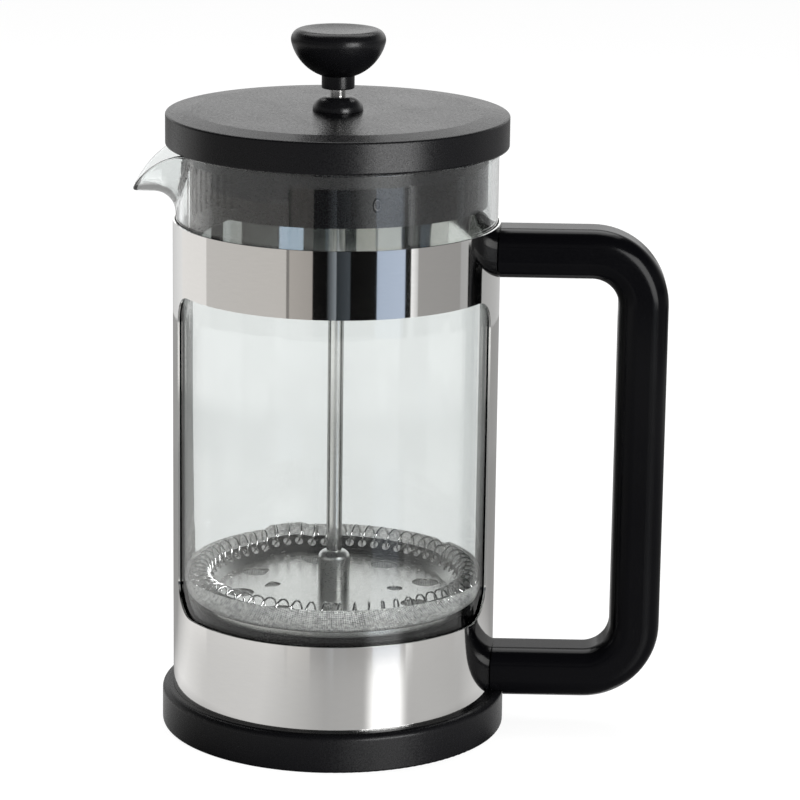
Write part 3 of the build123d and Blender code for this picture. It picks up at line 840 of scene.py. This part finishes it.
@dataclass
class Lid:
    """Lid with its strainer, and the guide that the rod slides in."""

    skirt_radius: float = 45.85 * MM
    scar_turn: float = math.radians(-73.4)  # from the handle, about the axis
    scar_height: float = 172.7 * MM
    scar_size: tuple[float, float] = (1.4 * MM, 2.3 * MM)  # half width and half height
    scar_relief: float = 0.35 * MM
    scar_sides: int = 20
    scar_steps: tuple[tuple[float, tuple[float, float, float]], ...] = (
        (0.16, (0.0, 0.0, 0.8)),  # an inset, and how its cap shifts, as shares of the size and relief
        (0.16, (0.0, 0.0, 0.2)),
        (0.16, (0.0, 0.0, -0.1)),
        (0.16, (0.1, 0.15, -1.2)),
    )

    def build_scar(self) -> bpy.types.Object:
        """Raise the oval scar that the moulding's gate left on the skirt, with its torn pit.

        Returns:
            The scar, bent to the skirt.
        """
        form = bmesh.new()
        wide, tall = self.scar_size
        bmesh.ops.create_circle(form, cap_ends=True, segments=self.scar_sides, radius=1.0)
        cap = form.faces[:]
        for inset, shift in self.scar_steps:
            bmesh.ops.inset_region(
                form, faces=cap, thickness=inset, use_boundary=True, use_even_offset=True
            )
            bmesh.ops.translate(form, vec=shift, verts=list({vert for face in cap for vert in face.verts}))
        bmesh.ops.holes_fill(form, edges=[edge for edge in form.edges if edge.is_boundary], sides=0)
        for vert in form.verts:
            around = self.scar_turn + vert.co.x * wide / self.skirt_radius
            reach = self.skirt_radius + vert.co.z * self.scar_relief
            height = self.scar_height + vert.co.y * tall
            vert.co = Vector((reach * math.cos(around), reach * math.sin(around), height))
        face_outwards(form)
        return finished_object("gate_scar", form)

    def dress(self, workshop: Workshop) -> None:
        """Dress the lid's and the guide's nodes, and the scar.

        Args:
            workshop: the maker of the finishes.
        """
        workshop.dress_node("lid", Finish.BLACK_PLASTIC)
        workshop.dress_node("rod_guide", Finish.GLOSS_BLACK_PLASTIC)
        workshop.dress_node("guide_nut", Finish.SATIN_STEEL)
        workshop.dress_piece(self.build_scar(), Finish.TORN_PLASTIC, "lid")


@dataclass
class Plunger:
    """Knob, rod and filter, whose spring is wound from round wire here."""

    spring_ring: float = 42.0 * MM  # axis to the middle of the curls
    spring_height: float = 47.2 * MM
    spring_coil: float = 3.3 * MM  # middle of the curl to the middle of the wire
    spring_wire: float = 0.66 * MM
    spring_start: float = math.radians(3.0)
    spring_turns: int = 60
    spring_gap: float = 0.5  # turns left open between the wire's ends
    wire_sides: int = 8
    turn_steps: int = 20

    def build_spring(self) -> bpy.types.Object:
        """Wind a straight spring, then bend it to a ring whose curls pass the plate's rim holes.

        Returns:
            The spring, as one tube with closed ends.
        """
        form = bmesh.new()
        pitch = 2 * math.pi * self.spring_ring / self.spring_turns
        lean = math.atan2(pitch, 2 * math.pi * self.spring_coil)
        start = Matrix.Translation((0, self.spring_coil, 0)) @ Matrix.Rotation(lean, 4, "Y")
        bmesh.ops.create_circle(form, segments=self.wire_sides, radius=self.spring_wire / 2, matrix=start)
        turns = self.spring_turns - self.spring_gap
        steps = round(turns * self.turn_steps)
        bmesh.ops.spin(
            form,
            geom=form.verts[:] + form.edges[:],
            cent=(0, 0, 0),
            axis=(1, 0, 0),
            dvec=(pitch / self.turn_steps, 0, 0),
            angle=2 * math.pi * turns,
            steps=steps,
            use_merge=False,
        )
        bmesh.ops.holes_fill(form, edges=[edge for edge in form.edges if edge.is_boundary], sides=0)
        for vert in form.verts:
            around = self.spring_start + vert.co.x / self.spring_ring
            reach = self.spring_ring + vert.co.y
            height = self.spring_height + vert.co.z
            vert.co = Vector((reach * math.cos(around), reach * math.sin(around), height))
        face_outwards(form)
        return finished_object("garter_spring_wire", form)

    def dress(self, workshop: Workshop) -> None:
        """Dress the plunger's nodes and set the spring in place of its node.

        Args:
            workshop: the maker of the finishes.
        """
        workshop.dress_node("knob", Finish.BLACK_PLASTIC)
        workshop.dress_node("knob_insert", Finish.INSERT_BRASS)
        workshop.dress_node("rod", Finish.DRAWN_STEEL)
        workshop.dress_node("rod_collar", Finish.TURNED_STEEL)
        for name in ("spiral_plate", "cross_plate", "clamp_nut"):
            workshop.dress_node(name, Finish.SATIN_STEEL)
        workshop.dress_node("mesh_screen", Finish.WOVEN_STEEL)
        spring = self.build_spring()
        workshop.dress_piece(spring, Finish.SPRING_WIRE, "plunger")
        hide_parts("garter_spring")


@dataclass(frozen=True)
class Board:
    """An upright board beside the table that shows only in reflections."""

    name: str
    start: float  # degrees from the camera, to the right
    end: float
    start_colour: Colour
    end_colour: Colour
    top: float = 0.100  # height of its upper edge


@dataclass(frozen=True)
class Softbox:
    """An area lamp that faces a point on the press's axis."""

    name: str
    place: tuple[float, float, float]
    aim_height: float
    size: tuple[float, float]
    power: float
    mirrored: bool = False  # whether mirrors show it
    lit: tuple[str, ...] = ()  # the pieces it is kept to, or none for all


def grey(level: float, warmth: float = 0.0) -> Colour:
    """A grey of one level, a little red and short of blue where it is warm."""
    return (level * (1 + warmth), level, level * (1 - warmth), 1.0)


@dataclass
class Studio:
    """Glossy pale table, soft lamps, the room seen in the steel, and the camera.

    A Span gives a level by a measure: two values of the measure, and the level at each.
    """

    table_size: float = 12.0
    table_matte: float = 0.75  # its grey under the lamps
    table_shade: float = 0.22  # the part of what the eye sees of it that shadows dim
    table_white: float = 0.86  # the part that they don't
    table_warmth: float = 0.01
    table_roughness: float = 0.12
    table_painted_shade: Span = (0.055, 0.085, 0.05, 1.0)  # by the distance from the axis: the base's painted shade on the table, as mirrors show it
    table_front: Span = (105.0, 132.0, 1.0, 0.0)  # by the degrees from the camera
    table_sheen: Span = (0.0, 1.0, 0.05, 0.48)  # by how far in front it lies
    far_rise: Span = (0.41, 0.45, 0.0, 1.6)  # by the distance: a painted ring of light on the table beyond the boards, how much brighter it is
    far_fall: Span = (0.60, 0.64, 1.0, 0.0)
    board_reach: float = 0.45  # from the beaker's axis
    board_foot: float = 0.030  # height of the lower edges
    board_steps: int = 16
    board_gain: float = 1.7  # how much brighter the boards are to what stands behind glass
    glow_reach: float = 0.60
    glow_bearing: tuple[float, float] = (37.0, 17.0)  # middle and half width, in degrees
    glow_height: tuple[float, float] = (0.066, 0.44)
    glow_core: float = 0.35  # share of the half width that is evenly bright
    glow_foot: float = 0.25  # share of the height over which it fades in
    glow_level: float = 2.4
    room_rear: Span = (0.0, 0.9, 0.012, 1.35)  # by how far a direction points away from the camera
    room_high: Span = (0.22, 0.62, 1.0, 0.08)  # by how far it points up
    room_low: Span = (-0.12, 0.17, 0.3, 1.0)
    lights_foot: Span = (0.04, 0.12, 0.0, 0.3)
    lights_top: Span = (0.32, 0.5, 1.0, 0.0)
    room_fill: float = 0.45  # the level that lights matte surfaces
    camera_place: tuple[float, float, float] = (0.0376, -1.0764, 0.3759)
    camera_heading: float = -0.0164  # radians from +Y towards +X
    camera_pitch: float = 0.2483  # radians below level
    camera_roll: float = 0.0134
    focal_length: float = 162.05
    sensor_width: float = 36.0
    near_limit: float = 10 * MM

    def boards(self) -> list[Board]:
        """The boards, from behind the left shoulder round to the right.

        Returns:
            One board beside the other.
        """
        return [
            Board("left_rear_board", -178.0, -132.0, grey(0.50), grey(0.84)),
            Board("left_rear_wall", -132.0, -98.0, grey(0.84, 0.02), grey(0.84, 0.02)),
            Board("left_board", -98.0, -33.0, grey(0.57, 0.03), grey(0.55, 0.04), top=0.092),
            Board("left_board_seam", -33.0, -31.0, grey(0.20, 0.05), grey(0.22, 0.05)),
            Board("left_board_end", -31.0, -15.5, grey(0.42, 0.06), grey(0.36, 0.06)),
            Board("left_flag", -15.5, -6.0, grey(0.006), grey(0.004)),
            Board("room", -6.0, 0.0, grey(0.02, -0.1), grey(0.28, -0.1)),
            Board("room_corner", 0.0, 9.0, grey(0.03, -0.15), grey(0.07, -0.15)),
            Board("right_flag", 9.0, 26.5, grey(0.004), grey(0.008)),
            Board("window", 26.5, 46.0, (0.45, 0.53, 0.66, 1.0), (0.50, 0.58, 0.72, 1.0)),
            Board("window_frame", 46.0, 50.2, grey(0.012), grey(0.012)),
            Board("window_reveal", 50.2, 55.5, grey(1.1), grey(0.6)),
            Board("right_board", 55.5, 92.0, grey(0.35, 0.02), grey(0.33, 0.02)),
            Board("right_board_end", 92.0, 100.0, grey(0.42), grey(0.46)),
            Board("right_rear_flag", 100.0, 117.0, grey(0.004), grey(0.004), top=0.072),
            Board("right_rear_board", 117.0, 178.0, grey(0.42), grey(0.60)),
        ]

    def table_levels(self) -> list[tuple[float, float]]:
        """The levels of painted light on the table, as the steel shows it.

        Returns:
            Degrees from the camera to the right, each with a level.
        """
        left = [(-180.0, 0.26), (-135.0, 0.30), (-112.0, 0.50), (-40.0, 0.55), (-4.0, 0.31)]
        return left + [(50.0, 0.39), (104.0, 0.33), (135.0, 0.28)]

    def softboxes(self) -> list[Softbox]:
        """The lamps.

        Returns:
            First those that light the whole press, then those that are kept to some pieces.
        """
        right_image = (0.44, -0.61, -0.23)  # the lamp on the right as the glossy table mirrors it
        wound = ("rod", "garter_spring_wire")
        marked = ("lid", "gate_scar")
        return [
            Softbox("strip_right", (0.42, -0.55, 0.35), 0.1, (0.20, 0.45), 3.6),
            Softbox("top_rear", (0.0, 0.55, 1.1), 0.1, (1.2, 0.7), 9.0, True),
            Softbox("left_fill", (-1.1, -0.1, 0.6), 0.1, (0.5, 0.9), 5.0),
            Softbox("side_strip", (0.46, -0.59, 0.27), 0.27, (0.34, 0.50), 7.4, True, TALL_PIECES),
            Softbox("side_strip_foot", (0.46, -0.59, 0.10), 0.10, (0.47, 0.20), 4.1, True, FLAT_PIECES),
            Softbox("side_strip_image", right_image, -0.23, (0.30, 0.42), 9.5, True, BLACK_PIECES),
            Softbox("rod_strip", right_image, -0.23, (0.19, 0.42), 2.6, True, wound),
            Softbox("left_card", (-0.62, 0.33, 0.05), 0.05, (0.5, 0.3), 0.3, True, marked),
            Softbox("handle_card", (0.06, 0.45, 0.75), 0.15, (0.5, 0.6), 3.0, True, ("handle",)),
            Softbox("rear_card", (-0.05, 0.40, 0.155), 0.155, (0.20, 0.11), 0.025, True, ("spiral_plate",)),
            Softbox("front_card", (0.12, -0.80, 0.20), 0.20, (0.5, 0.3), 6.2, True, ("mesh_screen",)),
        ]

    def bearing(self, graph: Graph, place: Socket) -> Socket:
        """Degrees from the camera round the press to a place, to the right.

        Args:
            graph: the material's graph.
            place: the place, from the press's axis.

        Returns:
            The bearing.
        """
        parts = graph.parts(place)
        ahead = graph.math("MULTIPLY", parts["Y"], -1.0)
        angle = graph.math("ARCTAN2", parts["X"], ahead)
        return graph.math("SUBTRACT", graph.math("DEGREES", angle), math.degrees(self.camera_bearing()))

    def camera_bearing(self) -> float:
        """Angle of the camera's place from -Y, towards +X."""
        return math.atan2(self.camera_place[0], -self.camera_place[1])

    @staticmethod
    def seen_straight(graph: Graph, path: Sockets) -> Socket:
        """A mask of what the eye sees with no mirror on the way, through glass or not.

        Args:
            graph: the graph to add to.
            path: the outputs of its Light Path node.

        Returns:
            The mask.
        """
        no_mirror = graph.math("LESS_THAN", path["Glossy Depth"], HALF_DEPTH)
        through = graph.math("MULTIPLY", path["Is Transmission Ray"], no_mirror)
        return graph.math("MAXIMUM", path["Is Camera Ray"], through)

    @staticmethod
    def bounced(graph: Graph, path: Sockets) -> Socket:
        """A mask of what metal and glass show."""
        return graph.math("MAXIMUM", path["Is Glossy Ray"], path["Is Transmission Ray"])

    def build_table(self) -> None:
        """Lay the table, white to the eye, with painted patches of light and shade where the steel shows
        it.
        """
        form = bmesh.new()
        bmesh.ops.create_grid(form, x_segments=1, y_segments=1, size=self.table_size / 2)
        table = finished_object("table", form)
        material, graph, place = start_material("pale_table")
        path = graph.add("LightPath").outputs
        matte = graph.add("BsdfDiffuse", {"Color": grey(self.table_matte)}).outputs[0]
        shaded = graph.add("BsdfDiffuse", {"Color": grey(self.table_shade)}).outputs[0]
        seen = graph.both(shaded, graph.glow(grey(1.0), self.table_white))
        mirrored = self.table_in_mirrors(graph, place)
        plain = graph.choose(self.bounced(graph, path), matte, mirrored)
        close_material(graph, graph.choose(self.seen_straight(graph, path), plain, seen))
        table.data.materials.append(material)

    def table_in_mirrors(self, graph: Graph, place: Socket) -> Socket:
        """Paint light and shade on the table as the steel and the glass show it, over a real sheen.

        Args:
            graph: the graph of its material.
            place: the Object coordinates.

        Returns:
            The shader.
        """
        aside = self.bearing(graph, place)
        # painted light: the table's glow by the bearing
        ramp = graph.add("ValToRGB", {"Fac": graph.span(aside, -HALF_TURN, HALF_TURN, 0.0, 1.0)})
        stops = ramp.color_ramp.elements
        for number, (bearing, level) in enumerate(self.table_levels()):
            share = (bearing + HALF_TURN) / (2 * HALF_TURN)
            stop = stops[number] if number < len(stops) else stops.new(share)
            stop.position = share
            stop.color = grey(level, self.table_warmth)
        reach = graph.length(place)
        front = graph.span(graph.math("ABSOLUTE", aside), *self.table_front)
        # a painted ring of light beyond the boards, in front
        far = graph.math("MULTIPLY", graph.span(reach, *self.far_rise), graph.span(reach, *self.far_fall))
        gain = graph.math("ADD", graph.math("MULTIPLY", far, front), 1.0)
        # the base's painted shade near the axis
        strength = graph.math("MULTIPLY", graph.span(reach, *self.table_painted_shade), gain)
        sheen = {"Color": graph.span(front, *self.table_sheen), "Roughness": self.table_roughness}
        return graph.both(
            graph.glow(ramp.outputs["Color"], strength), graph.add("BsdfGlossy", sheen).outputs[0]
        )

    def screen(
        self, name: str, bearings: tuple[float, float], heights: tuple[float, float], reach: float
    ) -> bpy.types.Object:
        """Stand a curved screen beside the table, hidden from the eye.

        Args:
            name: the screen's name.
            bearings: its ends, in degrees from the camera to the right.
            heights: its lower and upper edges.
            reach: its distance from the beaker's axis.

        Returns:
            The screen.
        """
        form = bmesh.new()
        heading = math.radians(bearings[0]) + self.camera_bearing()
        foot = Vector((math.sin(heading), -math.cos(heading), 0)) * reach
        low, high = (form.verts.new(foot + Vector((0, 0, height))) for height in heights)
        bmesh.ops.spin(
            form,
            geom=[low, high, form.edges.new((low, high))],
            cent=(0, 0, 0),
            axis=(0, 0, 1),
            angle=math.radians(bearings[1] - bearings[0]),
            steps=self.board_steps,
            use_merge=False,
        )
        screen = finished_object(name, form)
        screen.visible_camera = False
        screen.visible_diffuse = False
        screen.visible_shadow = False
        return screen

    def light_screen(self, graph: Graph, colour: Any, level: Socket, see_through: bool) -> None:
        """Make a screen's material glow in mirrors only.

        Args:
            graph: the graph of its material.
            colour: its colour, or the socket that gives it.
            level: the socket that gives its level.
            see_through: whether what lies behind shows as well.
        """
        path = graph.add("LightPath").outputs
        lit = graph.glow(colour, level)
        clear = graph.add("BsdfTransparent").outputs[0]
        if see_through:
            lit = graph.both(lit, clear)
        close_material(graph, graph.choose(self.seen_straight(graph, path), lit, clear))

    def build_board(self, board: Board) -> None:
        """Stand one board.

        Args:
            board: its ends, colours and height.
        """
        ends, heights = (board.start, board.end), (self.board_foot, board.top)
        screen = self.screen(board.name, ends, heights, self.board_reach)
        material, graph, place = start_material(board.name)
        along = graph.span(self.bearing(graph, place), *ends, 0.0, 1.0)
        colour = graph.mix(along, board.start_colour, board.end_colour)
        depth = graph.add("LightPath").outputs["Transmission Depth"]
        behind_glass = graph.math("GREATER_THAN", depth, HALF_DEPTH)
        level = graph.span(behind_glass, 0.0, 1.0, 1.0, self.board_gain)
        self.light_screen(graph, colour, level, see_through=False)
        screen.data.materials.append(material)

    def build_glow(self) -> None:
        """Stand the soft glow of the lamp on the right, which fades out to its edges."""
        middle, half = self.glow_bearing
        bottom, top = self.glow_height
        screen = self.screen("lamp_glow", (middle - half, middle + half), self.glow_height, self.glow_reach)
        material, graph, place = start_material("lamp_glow")
        aside = graph.math("ABSOLUTE", graph.math("SUBTRACT", self.bearing(graph, place), middle))
        across = graph.span(aside, half * self.glow_core, half, 1.0, 0.0, "SMOOTHSTEP")
        full = bottom + self.glow_foot * (top - bottom)
        rise = graph.span(graph.parts(place)["Z"], bottom, full, 0.0, 1.0, "SMOOTHSTEP")
        level = graph.math("MULTIPLY", graph.math("MULTIPLY", across, rise), self.glow_level)
        self.light_screen(graph, grey(1.0), level, see_through=True)
        screen.data.materials.append(material)

    def build_lamps(self) -> None:
        """Hang the softboxes."""
        for box in self.softboxes():
            light = bpy.data.lights.new(box.name, "AREA")
            light.shape = "RECTANGLE"
            light.size, light.size_y = box.size
            light.energy = box.power
            lamp = bpy.data.objects.new(box.name, light)
            towards = Vector((0, 0, box.aim_height)) - Vector(box.place)
            turn = towards.to_track_quat("-Z", "Y").to_matrix().to_4x4()
            lamp.matrix_world = Matrix.Translation(box.place) @ turn
            lamp.visible_camera = False
            lamp.visible_glossy = box.mirrored
            lamp.visible_transmission = False
            if box.lit:
                lamp.light_linking.receiver_collection = self.gather(box.name + "_lit", box.lit)
                lamp.light_linking.blocker_collection = self.gather(box.name + "_shade", SHADING_PIECES)
            bpy.context.scene.collection.objects.link(lamp)

    @staticmethod
    def gather(name: str, pieces: tuple[str, ...]) -> bpy.types.Collection:
        """Put pieces into a collection that a lamp is kept to.

        Args:
            name: the collection's name.
            pieces: names of nodes or new pieces.

        Returns:
            The collection.
        """
        group = bpy.data.collections.new(name)
        for piece in pieces:
            group.objects.link(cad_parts.get(piece) or bpy.data.objects[piece])
        return group

    def build_world(self) -> None:
        """Surround the press with white, and in reflections with a room that is dim in front."""
        world = bpy.data.worlds.new("studio")
        bpy.context.scene.world = world
        world.use_nodes = True
        graph = Graph(world.node_tree)
        path = graph.add("LightPath").outputs
        way = graph.parts(graph.add("TexCoord").outputs["Generated"])
        upright = graph.math(
            "MULTIPLY", graph.span(way["Z"], *self.room_high), graph.span(way["Z"], *self.room_low)
        )
        rear = graph.math("MULTIPLY", graph.span(way["Y"], *self.room_rear), upright)
        lights = graph.math(
            "MULTIPLY", graph.span(way["Z"], *self.lights_foot), graph.span(way["Z"], *self.lights_top)
        )
        level = graph.math("MAXIMUM", rear, lights)
        room = graph.add("CombineColor", {"Red": level, "Green": level, "Blue": level}).outputs["Color"]
        glossy, white, fill = (
            graph.add("Background", {"Color": colour, "Strength": strength}).outputs[0]
            for colour, strength in ((room, 1.0), (grey(1.0), 1.0), (grey(1.0), self.room_fill))
        )
        mirrored = graph.choose(self.bounced(graph, path), fill, glossy)
        seen = graph.choose(self.seen_straight(graph, path), mirrored, white)
        graph.add("OutputWorld", {"Surface": seen})

    def build_camera(self) -> None:
        """Stand the camera where the photograph was taken from."""
        heading, pitch, roll = self.camera_heading, self.camera_pitch, self.camera_roll
        ahead = Vector(
            (math.sin(heading) * math.cos(pitch), math.cos(heading) * math.cos(pitch), -math.sin(pitch))
        )
        right = Vector((math.cos(heading), -math.sin(heading), 0))
        above = right.cross(ahead)
        across = math.cos(roll) * right + math.sin(roll) * above
        upright = math.cos(roll) * above - math.sin(roll) * right
        turn = Matrix((across, upright, -ahead)).transposed().to_4x4()
        lens = bpy.data.cameras.new("camera")
        lens.lens = self.focal_length
        lens.sensor_width = self.sensor_width
        lens.clip_start = self.near_limit
        camera = bpy.data.objects.new("camera", lens)
        camera.matrix_world = Matrix.Translation(self.camera_place) @ turn
        bpy.context.scene.collection.objects.link(camera)
        bpy.context.scene.camera = camera

    def build(self) -> None:
        """Set up the whole studio."""
        self.build_table()
        for board in self.boards():
            self.build_board(board)
        self.build_glow()
        self.build_lamps()
        self.build_world()
        self.build_camera()
        bpy.context.scene.view_settings.view_transform = "Standard"
        LOG.info("studio: %d boards, %d lamps", len(self.boards()), len(self.softboxes()))


def main() -> None:
    """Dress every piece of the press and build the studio."""
    logging.basicConfig(level=logging.INFO, format="%(name)s %(message)s")
    workshop = Workshop()
    for assembly in (Stand(), Beaker(), Lid(), Plunger()):
        assembly.dress(workshop)
    Studio().build()


if __name__ == "__main__":
    main()
